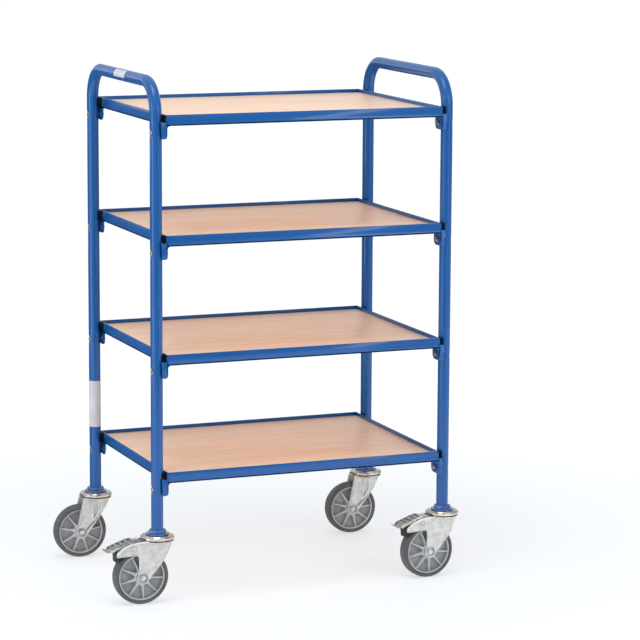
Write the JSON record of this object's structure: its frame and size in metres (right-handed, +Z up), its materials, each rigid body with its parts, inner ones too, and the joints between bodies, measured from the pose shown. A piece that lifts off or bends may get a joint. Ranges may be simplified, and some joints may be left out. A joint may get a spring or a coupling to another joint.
{
  "type": "shelf trolley",
  "caption": "Auxiliary trolley with bent tube side frames and push handles, steel angle shelves with wooden boards, and swivel casters with foot brakes on the front pair.",
  "frame": {"origin": "on the floor, under the middle of the footprint with the wheels trailing as at rest", "axes": "+Z up, X along the long side of the shelves, front side at -Y, wheels trailing towards -X"},
  "size_m": [0.8565, 0.536, 1.1745],
  "materials": {
    "paint": "glossy blue powder coat",
    "board": "satin light wood decor",
    "zinc": "bright zinc plate",
    "steel": "plain steel",
    "tyre": "matt grey rubber",
    "rim": "matt grey moulding",
    "shoe": "matt black"
  },
  "bodies": {
    "trolley": {"side_frame_left": "paint", "side_frame_right": "paint", "shelf_frame_1": "paint", "shelf_frame_2": "paint", "shelf_frame_3": "paint", "shelf_frame_4": "paint", "shelf_board_1": "board", "shelf_board_2": "board", "shelf_board_3": "board", "shelf_board_4": "board", "shelf_bolt_1_front_left": "zinc", "shelf_bolt_1_front_right": "zinc", "shelf_bolt_1_back_left": "zinc", "shelf_bolt_1_back_right": "zinc", "shelf_bolt_2_front_left": "zinc", "shelf_bolt_2_front_right": "zinc", "shelf_bolt_2_back_left": "zinc", "shelf_bolt_2_back_right": "zinc", "shelf_bolt_3_front_left": "zinc", "shelf_bolt_3_front_right": "zinc", "shelf_bolt_3_back_left": "zinc", "shelf_bolt_3_back_right": "zinc", "shelf_bolt_4_front_left": "zinc", "shelf_bolt_4_front_right": "zinc", "shelf_bolt_4_back_left": "zinc", "shelf_bolt_4_back_right": "zinc", "caster_head_front_left": "zinc", "caster_bolt_front_left": "steel", "caster_head_front_right": "zinc", "caster_bolt_front_right": "steel", "caster_head_back_left": "zinc", "caster_bolt_back_left": "steel", "caster_head_back_right": "zinc", "caster_bolt_back_right": "steel"},
    "fork_front_left": {"caster_fork_front_left": "zinc", "hub_sleeve_front_left": "steel", "axle_bolt_front_left": "zinc", "pedal_pin_left": "zinc"},
    "wheel_front_left": {"wheel_rim_front_left": "rim", "tyre_front_left": "tyre"},
    "pedal_left": {"brake_pedal_left": "zinc", "brake_shoe_left": "shoe"},
    "fork_front_right": {"caster_fork_front_right": "zinc", "hub_sleeve_front_right": "steel", "axle_bolt_front_right": "zinc", "pedal_pin_right": "zinc"},
    "wheel_front_right": {"wheel_rim_front_right": "rim", "tyre_front_right": "tyre"},
    "pedal_right": {"brake_pedal_right": "zinc", "brake_shoe_right": "shoe"},
    "fork_back_left": {"caster_fork_back_left": "zinc", "hub_sleeve_back_left": "steel", "axle_bolt_back_left": "zinc"},
    "wheel_back_left": {"wheel_rim_back_left": "rim", "tyre_back_left": "tyre"},
    "fork_back_right": {"caster_fork_back_right": "zinc", "hub_sleeve_back_right": "steel", "axle_bolt_back_right": "zinc"},
    "wheel_back_right": {"wheel_rim_back_right": "rim", "tyre_back_right": "tyre"}
  },
  "joints": [
    {"name": "swivel_front_left", "type": "hinge", "parent": "trolley", "child": "fork_front_left", "pos_m": [-0.305, -0.23, 0.14], "axis": [0, 0, 1], "continuous": true},
    {"name": "roll_front_left", "type": "hinge", "parent": "fork_front_left", "child": "wheel_front_left", "pos_m": [-0.34498, -0.2286, 0.0625], "axis": [0.0349, 0.9994, 0], "continuous": true},
    {"name": "brake_left", "type": "hinge", "parent": "fork_front_left", "child": "pedal_left", "pos_m": [-0.36496, -0.22791, 0.131], "axis": [-0.0349, -0.9994, 0], "range_deg": [0, 8.5]},
    {"name": "swivel_front_right", "type": "hinge", "parent": "trolley", "child": "fork_front_right", "pos_m": [0.39, -0.23, 0.14], "axis": [0, 0, 1], "continuous": true},
    {"name": "roll_front_right", "type": "hinge", "parent": "fork_front_right", "child": "wheel_front_right", "pos_m": [0.35006, -0.23209, 0.0625], "axis": [-0.0523, 0.9986, 0], "continuous": true},
    {"name": "brake_right", "type": "hinge", "parent": "fork_front_right", "child": "pedal_right", "pos_m": [0.33008, -0.23314, 0.131], "axis": [0.0523, -0.9986, 0], "range_deg": [0, 8.5]},
    {"name": "swivel_back_left", "type": "hinge", "parent": "trolley", "child": "fork_back_left", "pos_m": [-0.305, 0.23, 0.14], "axis": [0, 0, 1], "continuous": true},
    {"name": "roll_back_left", "type": "hinge", "parent": "fork_back_left", "child": "wheel_back_left", "pos_m": [-0.34496, 0.23175, 0.0625], "axis": [0.0436, 0.999, 0], "continuous": true},
    {"name": "swivel_back_right", "type": "hinge", "parent": "trolley", "child": "fork_back_right", "pos_m": [0.39, 0.23, 0.14], "axis": [0, 0, 1], "continuous": true},
    {"name": "roll_back_right", "type": "hinge", "parent": "fork_back_right", "child": "wheel_back_right", "pos_m": [0.35006, 0.23209, 0.0625], "axis": [0.0523, 0.9986, 0], "continuous": true}
  ]
}
